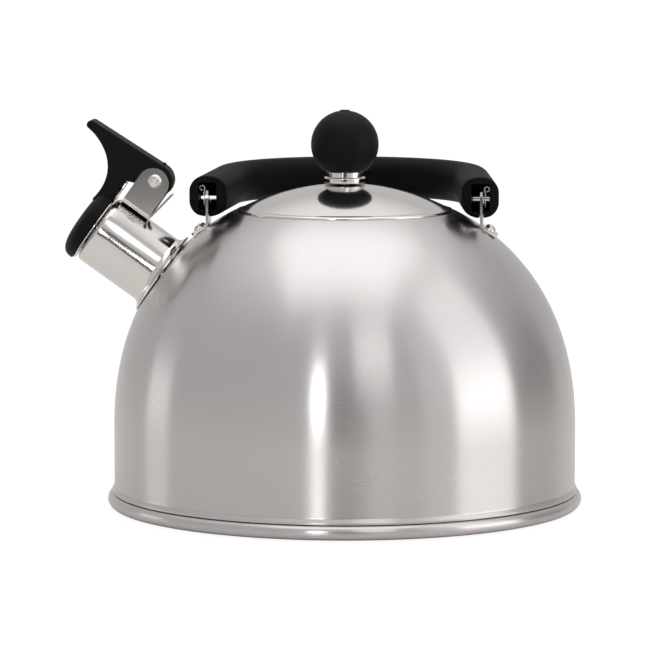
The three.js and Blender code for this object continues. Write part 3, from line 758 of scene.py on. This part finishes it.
class KETTLE_OT_whistle(Maker, bpy.types.Operator):
    """Makes the whistle: an outer disc that the cap clips over and a cup behind it"""
    bl_idname = "kettle.whistle"
    bl_label = "Whistle"

    def make(self, scene):
        sizes = in_mm(scene.kettle_spout)
        finish = polished_steel(scene.kettle_finishes)
        low, high, hole, edge, sheet = -0.7, -0.1, 2.2, sizes.disc, 0.6
        blank = rounded([(hole, low), (edge, low, 0.25), (edge, high, 0.25), (hole, high)])
        disc = spun(blank, 96, closed=True)
        foot, tip, half = edge - 2, 21.5, 4
        tail = slab([(low, foot), (high, foot), (high, tip), (low, tip)], -half, half, UPRIGHT, bevel=0.1)
        piece("whistle_disc", joined(disc, tail), finish, "whistle_cap", ["whistle_plate"],
              spout_matrix(sizes))
        rim, chamber, top, deep = 11.8, 9, -1.0, -4.0
        under, inside, floor = top - sheet, chamber - sheet, deep + sheet
        cup = rounded([(hole, deep), (chamber, deep, 0.9), (chamber, under, 0.3), (rim, under, 0.2),
                       (rim, top, 0.2), (inside, top), (inside, floor, 0.4), (hole, floor)])
        piece("whistle_cup_pressed", spun(cup, 96, closed=True), finish, "whistle_cap",
              ["whistle_cup"], spout_matrix(sizes))


def lid_line(sizes, low, high, steps):
    """The crown of the lid from one radius to another."""
    base = sizes.apex - sizes.crown
    radii = [low + (high - low) * i / steps for i in range(steps + 1)]
    return [(r, base + math.sqrt(sizes.crown ** 2 - r ** 2)) for r in radii]


class KETTLE_OT_lid(Maker, bpy.types.Operator):
    """Makes the crowned lid with its rolled rim, and the skirt that centres it in the neck"""
    bl_idname = "kettle.lid"
    bl_label = "Lid"

    def make(self, scene):
        sizes = in_mm(scene.kettle_lid)
        roll, hole, sheet, rest = 0.95, 2.3, 0.8, 117.4
        top = lid_line(sizes, hole, sizes.rim - 1.5, 40)
        under = [(r, z - sheet) for r, z in lid_line(sizes, hole, sizes.rim - 2.4, 20)]
        rim = arc((sizes.rim - roll, rest + roll), (roll, roll), -150, 92, 22)
        piece("lid_crowned", spun(under + rim + top[::-1], 256, closed=True),
              polished_steel(scene.kettle_finishes), "lid", ["lid_shell"])
        high, outer, flange = 118.4, 38.7, 2.5
        low, inner, under = high - 9.9, outer - sheet, high - sheet
        line = rounded([(inner, low), (outer, low, 0.2), (outer, under, 0.5), (outer + flange, under),
                        (outer + flange, high), (inner, high, 0.8)])
        piece("lid_skirt_rolled", spun(line, 192, closed=True), brushed_steel(scene.kettle_finishes), "lid",
              ["lid_skirt"])


class KETTLE_OT_knob(Maker, bpy.types.Operator):
    """Makes the ball knob, its steel collar, and the nut, washer and screw that hold it"""
    bl_idname = "kettle.knob"
    bl_label = "Knob"

    def make(self, scene):
        sizes = in_mm(scene.kettle_lid)
        finishes = scene.kettle_finishes
        low, top, hole = COLLAR_LOW.z / MM, COLLAR_HIGH.z / MM, 2.3
        neck, flange, step = sizes.collar, sizes.collar + 1.05, low + 2.3
        line = rounded([(hole, low), (flange, low, 0.3), (flange, step, 0.6), (neck, step, 0.15),
                        (neck, top, 0.15), (hole, top)])
        piece("knob_collar_turned", spun(line, 96, closed=True), polished_steel(finishes), "lid",
              ["knob_collar"])
        ball, middle, seat, bore = sizes.ball, sizes.ball_height, KNOB_LOW.z / MM, 4.0
        start = math.degrees(math.asin((seat + 0.35 - middle) / ball))
        roof, tip = 148, 145
        flat = math.sqrt(ball ** 2 - (seat - middle) ** 2) - 0.5
        line = [(0, roof), (bore, roof), (bore, seat), (flat, seat)]
        line += arc((0, middle), (ball, ball), start, 81, 56)
        crest = middle + ball
        line += rounded([(2.05, crest - 0.1), (1.9, crest + 0.2, 0.2), (0, crest + 0.3)])
        piece("knob_ball", spun(line, 144, closed=False), moulding(finishes), "lid", ["knob"])

        def ring(inner, outer, base, high):
            square = rounded([(inner, base), (outer, base, 0.15), (outer, high, 0.15), (inner, high)])
            return spun(square, 64, closed=True)

        brass = steel("brass", finishes.brass, 0.3, lines=2500, wiping=120)
        gap = 0.3
        piece("knob_nut", ring(hole, bore - gap, seat + gap, roof - gap), brass, "lid",
              ["knob_insert"])
        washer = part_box("knob_washer")[0].z / MM
        plain = spring_steel(finishes)
        piece("knob_washer_flat", ring(hole, 7, washer, washer + 0.9), plain, "lid",
              ["knob_washer"])
        head, socket, shank, wide = washer - gap, 0.9, 2, 4.5
        line = rounded([(0, head - 1.4), (socket, head - 1.4, 0.2), (socket, head - 2.5, 0.2),
                        (3.4, head - 2.4, 0.6), (wide, head - 1.3, 0.5), (wide, head, 0.2),
                        (shank, head, 0.2), (shank, tip - 1, 0.2), (1.4, tip), (0, tip)])
        piece("knob_screw_headed", spun(line, 64, closed=False), plain, "lid", ["knob_screw"])


def grip_stations(sizes):
    """Half of the grip's middle line from its right end: points, directions and shares of full size."""
    end, corner = Vector((sizes.pivot, -sizes.toe)), Vector((49.8, 36))
    along = (corner - end).normalized()
    curve = bezier(corner, corner + along * 22, (26, 72), (0, 72), 44)
    reach, fillet = (corner - end).length, 0.8
    stations = [(end, along, keep, keep) for keep in (0.03, 0.3, 0.55, 0.78)]
    half_width, half_depth = sizes.width / 2, sizes.depth / 2
    for i in range(9):
        turn = math.radians(90 * i / 8)
        inset = fillet * (1 - math.sin(turn))
        spot = end + along * fillet * (1 - math.cos(turn))
        stations.append((spot, along, 1 - inset / half_width, 1 - inset / half_depth))
    for i in range(1, 31):
        stations.append((end + along * (fillet + (reach - fillet) * i / 30), along, 1, 1))
    for before, on_curve, after in zip(curve, curve[1:], curve[2:]):
        stations.append((Vector(on_curve), (Vector(after) - Vector(before)).normalized(), 1, 1))
    return stations


class KETTLE_OT_handle(Maker, bpy.types.Operator):
    """Makes the fold-back handle, with a pocket in each end for its strap and pin"""
    bl_idname = "kettle.handle"
    bl_label = "Handle"

    def make(self, scene):
        sizes = in_mm(scene.kettle_handle)
        body = in_mm(scene.kettle_body)
        corner, flat_x, flat_z = 6.4, sizes.width / 2 - 6.4, sizes.depth / 2 - 6.4
        section = []
        for sx, sz, start in ((1, 1, 0), (-1, 1, 90), (-1, -1, 180), (1, -1, 270)):
            section += arc((sx * flat_x, sz * flat_z), (corner, corner), start, start + 90, 12)
        slope = [(r, FOLD_PIVOT.z / MM - z) for r, z in body_line(body, 60)]
        reach, gap = math.pi / 2 - sizes.tilt, 0.75

        def clear(point):
            """Draws a point in towards the pins, so that it swings past the shoulder."""
            x, y, z = point
            room = next(drop for r, drop in reversed(slope) if r >= abs(x)) - gap
            lead = max(-math.pi / 2 - (math.atan2(z, y) % math.tau - math.tau + reach), 0)
            most = room / math.cos(lead) if lead < 1.4 else math.inf
            share_in = min(1, most / max(math.hypot(y, z), 1e-6)) if y < 0 else 1
            return (x, y * share_in, z * share_in)

        rows = []
        stations = grip_stations(sizes)
        for side, order in ((1, stations), (-1, stations[::-1])):
            for spot, along, wide, deep in order:
                out = Vector((along.y, -along.x))
                row = [(side * (spot.x + out.x * x * wide), spot.y + out.y * x * wide, sizes.lift + z * deep)
                       for x, z in section]
                rows.append([clear(p) for p in row])
        made = piece("handle_grip", skinned(rows, ring=True, capped=True), soft_touch(scene.kettle_finishes),
                     "bail", ["handle"], bail_matrix(sizes), sharp=50)
        sill, swing, lap, front, floor, roof, low = 4.6, 9, 1.5, -14, 7, 6.8, -20
        across = ((0, 1, 0), (0, 0, 1), (1, 0, 0))
        start = 180 + math.degrees(math.asin((sill - lap) / swing))
        pocket = [(front, -sill), (floor, -sill), (floor, roof), (front, roof)]
        groove = [(front, low - 1), (floor - 0.1, low - 1), (floor - 0.1, 0), (front, 0)]
        sweep = [(0, low), (front, low), (front, lap - sill)] + arc((0, 0), (swing, swing), start, 270, 12)
        slots = []
        for _, side in SIDES:
            for line, x, half, bevel in ((pocket, sizes.pivot, 3.65, 0.8), (groove, sizes.strap, 0.8, 0),
                                         (sweep, sizes.pivot, 3.6, 0)):
                slots.append(slab(line, side * x - half, side * x + half, across, bevel))
        carve(made, bail_matrix(sizes), *slots, sharp=42)


class KETTLE_OT_pins(Maker, bpy.types.Operator):
    """Makes the pins that the handle turns on and the spring clips beside its straps"""
    bl_idname = "kettle.pins"
    bl_label = "Handle pins and clips"

    def make(self, scene):
        sizes = in_mm(scene.kettle_handle)
        finishes = scene.kettle_finishes
        for name, side in SIDES:
            half = 6.7
            line = rounded([(0, -half), (2.15, -half, 0.4), (2.15, half, 0.4), (0, half)])
            middle = Matrix.Translation((side * sizes.pivot * MM, 0, 0))
            across = bail_matrix(sizes) @ middle @ Matrix.Rotation(math.pi / 2, 4, "Y")
            piece("handle_pin_turned_" + name, spun(line, 48, closed=False), polished_steel(finishes), "bail",
                  ["handle_pin_" + name], across)
            near, eye, tall, wide = sizes.strap + 1.2, 0.95, 4.1, 2.8
            line = arc((near + eye, tall), (eye, eye), -100, 180, 14)
            crimped = near + 0.35
            line += [(near, tall - 0.8), (crimped, 2), (near, 0), (crimped, -2), (near + 0.1, 0.6 - tall)]
            leaf = [(side * x, min(wide, wide * (tall + z + 1) / 2), z) for x, z in line]
            rows = [[(x, -half_wide, z), (x, half_wide, z)] for x, half_wide, z in leaf]
            clip = piece("spring_clip_bent_" + name, skinned(rows), spring_steel(finishes), "bail",
                         ["spring_clip_" + name], bail_matrix(sizes))
            modifier(clip, "SOLIDIFY", thickness=0.45 * MM, offset=0)
            settle(clip)


class KETTLE_OT_straps(Maker, bpy.types.Operator):
    """Makes the two bent straps that carry the handle, with their rivets"""
    bl_idname = "kettle.straps"
    bl_label = "Handle straps"

    def make(self, scene):
        sizes = in_mm(scene.kettle_handle)
        finish = polished_steel(scene.kettle_finishes)
        half, pin_up = sizes.strap_half, FOLD_PIVOT.z / MM
        for name, side in SIDES:
            foot = foot_matrix(side)
            toe = [foot @ Vector((side * x * MM, 0, 0.8 * MM)) / MM for x in (-3.4, 3.7)]
            top = arc((0, pin_up), (half, half), 90, 0, 16)
            ear = [(sizes.strap - 0.5 * max(z - pin_up - 3, 0) / 3, z, y) for y, z in top]
            heel_x, toe_x = abs(toe[0].x), abs(toe[1].x)
            drop = (toe[1].z - toe[0].z) / (toe_x - heel_x)
            bend_z = toe[1].z - drop * (toe_x - sizes.strap)
            bend = rounded([(sizes.strap, pin_up - 4), (sizes.strap, bend_z, 1.4), (toe_x, toe[1].z)],
                           steps=8)
            strip = ear + [(x, z, half) for x, z in bend]
            tip = strip.pop()
            last = Vector(strip[-1][:2])
            for share_out, keep in ((0.55, 1), (0.85, 0.93), (1, 0.75)):
                strip.append((*last.lerp(Vector(tip[:2]), share_out), half * keep))
            rows = [[(side * x, -w, z), (side * x, w, z)] for x, z, w in strip]
            strap = piece("handle_strap_" + name, skinned(rows), finish, "kettle_body",
                          ["handle_bracket_" + name])
            pressed(strap, 1.0, 0.15)
            seat = 1.6
            head = [(0, -2.3), (1.7, -2.1), (1.9, -1.4), (1.1, -1.3), (1.1, seat - 0.2), (2.2, seat - 0.2)]
            head += arc((0, seat), (2.2, 1.4), 4, 90, 12)
            for end, y in (("front", -3.6), ("rear", 3.6)):
                which = name + "_" + end
                piece("strap_rivet_" + which, spun(head, 40, closed=False), finish, "kettle_body",
                      ["bracket_rivet_" + which], foot @ Matrix.Translation((0, y * MM, 0)))


def looking(spot, way):
    """The matrix of a light or camera at a spot, facing one way."""
    return Matrix.Translation(spot) @ way.to_track_quat("-Z", "Y").to_matrix().to_4x4()


# Each soft light's name, bearing from the front in degrees, distance, height, size and power, and how far
# in front of the kettle's axis it aims.
SOFTBOXES = (
    ("low_strip_left_of_middle", -9, 1.25, 0.305, (0.13, 0.23), 0.95),
    ("high_box_right_of_middle", 19, 1.25, 0.8, (0.44, 0.6), 0.75),
    ("tall_box_right", 77, 1.3, 0.75, (0.85, 1.5), 2.5),
    ("low_box_right", 77, 1.3, 0.22, (0.85, 0.42), 1.2),
    ("tall_box_front_right", 52, 1.3, 0.6, (0.5, 1.2), 0.4),
    ("low_box_left", -100, 1.3, 0.13, (0.4, 0.24), 0.25),
    ("overhead", 0, 0.08, 1.2, (1.05, 1.15), 2.6, 0.09),
)


def softbox(name, bearing, distance, height, size, power, ahead=0):
    """A soft area light that faces the kettle."""
    light = bpy.data.lights.new(name, "AREA")
    light.shape, (light.size, light.size_y) = "RECTANGLE", size
    light.energy = power
    turn = math.radians(bearing)
    spot = Vector((distance * math.sin(turn), -distance * math.cos(turn), height))
    aim = Vector((0, -ahead, 0.07))
    made = bpy.data.objects.new(name, light)
    made.matrix_world = looking(spot, aim - spot)
    bpy.context.scene.collection.objects.link(made)


def studio_floor(finishes):
    """The floor's pale material: shaded for the kettle and evenly lit in plain view."""
    def build(tree, shader, spot):
        grain = add(tree, "TexNoise", {"Vector": spot, "Scale": 40, "Detail": 4}).outputs["Fac"]
        shaded(tree, shader, finishes.floor, grain, depth=0.01, roughness=0.28, spread=0.03,
               height=grain, distance=1e-5)
        even = add(tree, "Emission", {"Color": (1, 1, 1, 1), "Strength": 1.1}).outputs[0]
        seen = sums(tree, "MULTIPLY", add(tree, "LightPath").outputs["Is Camera Ray"], 0.84)
        mix = add(tree, "MixShader", {0: seen, 1: shader.outputs[0], 2: even}).outputs[0]
        tree.links.new(mix, tree.nodes["Material Output"].inputs["Surface"])
    return surface("studio_floor", build)


def lobe(tree, way, bearing, climb, wide, soft):
    """A mask that is 1 within an angle of one direction and fades out over a further angle."""
    turn, lift = math.radians(bearing), math.radians(climb)
    middle = (math.sin(turn) * math.cos(lift), -math.cos(turn) * math.cos(lift), math.sin(lift))
    near = add(tree, "VectorMath", {0: way, 1: middle}, operation="DOT_PRODUCT").outputs["Value"]
    edges = {"From Min": math.cos(math.radians(wide + soft)), "From Max": math.cos(math.radians(wide))}
    return add(tree, "MapRange", {"Value": near, **edges}, interpolation_type="SMOOTHSTEP").outputs["Result"]


# Patches of the room that are darker or paler: bearing, climb, half width and fade in degrees, and change.
PATCHES = ((0.5, 1, 13, 5, -0.5), (184, 80, 22, 32, 0.42), (118, 0, 10, 16, -0.26))


def studio_world(scene):
    """A grey room, dark round the camera and paler behind the kettle, and white where it is seen directly."""
    world = bpy.data.worlds.new("studio")
    world.use_nodes = True
    tree = world.node_tree
    way = add(tree, "TexCoord").outputs["Generated"]
    glow = 0.56
    for *shape, change in PATCHES:
        glow = sums(tree, "MULTIPLY_ADD", lobe(tree, way, *shape), change, glow)
    room = add(tree, "VectorMath", {0: (1, 0.985, 0.98), "Scale": glow}, operation="SCALE").outputs[0]
    tree.links.new(room, tree.nodes["Background"].inputs["Color"])
    white = add(tree, "Background", {"Color": (1, 1, 1, 1), "Strength": 1.0}).outputs[0]
    seen = add(tree, "LightPath").outputs["Is Camera Ray"]
    mix = add(tree, "MixShader", {0: seen, 1: tree.nodes["Background"].outputs[0], 2: white}).outputs[0]
    tree.links.new(mix, tree.nodes["World Output"].inputs["Surface"])
    scene.world = world


class KETTLE_OT_stage(Maker, bpy.types.Operator):
    """Makes the studio: a pale floor, soft lights and the camera"""
    bl_idname = "kettle.stage"
    bl_label = "Studio"

    def make(self, scene):
        bm = bmesh.new()
        radius, in_front = 14, 1.3
        middle = Matrix.Translation((0, radius - in_front, 0))
        bmesh.ops.create_circle(bm, cap_ends=True, segments=96, radius=radius, matrix=middle)
        mesh = bpy.data.meshes.new("studio_floor")
        bm.to_mesh(mesh)
        bm.free()
        mesh.materials.append(studio_floor(scene.kettle_finishes))
        floor = bpy.data.objects.new("studio_floor", mesh)
        scene.collection.objects.link(floor)
        studio_world(scene)
        scene.view_settings.view_transform = "Standard"

        for settings in SOFTBOXES:
            softbox(*settings)

        view = scene.kettle_view
        turn = math.radians(view.bearing)
        right = Vector((math.cos(turn), math.sin(turn), 0))
        spot = Vector((view.distance * math.sin(turn), -view.distance * math.cos(turn), view.height))
        aim = Vector((0, 0, view.aim)) - spot
        lens = bpy.data.cameras.new("camera")
        lens.lens, lens.clip_start, lens.clip_end = view.lens, 0.05, 60
        camera = bpy.data.objects.new("camera", lens)
        camera.matrix_world = looking(spot - right * view.sideways, aim)
        scene.collection.objects.link(camera)
        scene.camera = camera


# ------------------------------------------------------------------ panel and registration

PIECES = (KETTLE_OT_body, KETTLE_OT_base, KETTLE_OT_spout, KETTLE_OT_hinge, KETTLE_OT_cap, KETTLE_OT_whistle,
          KETTLE_OT_lid, KETTLE_OT_knob, KETTLE_OT_handle, KETTLE_OT_pins, KETTLE_OT_straps, KETTLE_OT_stage)

SETTINGS = {
    "kettle_body": KettleBodySizes,
    "kettle_spout": KettleSpoutSizes,
    "kettle_lid": KettleLidSizes,
    "kettle_handle": KettleHandleSizes,
    "kettle_view": KettleView,
    "kettle_finishes": KettleFinishes,
}


class KETTLE_PT_panel(bpy.types.Panel):
    """Lists the kettle's pieces and its sizes"""
    bl_idname = "KETTLE_PT_panel"
    bl_label = "Whistling Kettle"
    bl_space_type = "VIEW_3D"
    bl_region_type = "UI"
    bl_category = "Kettle"

    def draw(self, context):
        for operator in PIECES:
            self.layout.operator(operator.bl_idname)
        for name, group in SETTINGS.items():
            box = self.layout.box()
            for field in group.__annotations__:
                box.prop(getattr(context.scene, name), field)


CLASSES = (*SETTINGS.values(), *PIECES, KETTLE_PT_panel)


def register():
    for cls in CLASSES:
        bpy.utils.register_class(cls)
    for name, group in SETTINGS.items():
        setattr(bpy.types.Scene, name, PointerProperty(type=group))


def unregister():
    for name in SETTINGS:
        delattr(bpy.types.Scene, name)
    for cls in reversed(CLASSES):
        bpy.utils.unregister_class(cls)


def plain(bounds):
    """A box as plain lists of numbers."""
    return [[float(value) for value in corner] for corner in bounds]


def main():
    """Registers the add-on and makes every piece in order."""
    register()
    for operator in PIECES:
        area, name = operator.bl_idname.split(".")
        getattr(getattr(bpy.ops, area), name)()


if __name__ == "__main__":
    main()
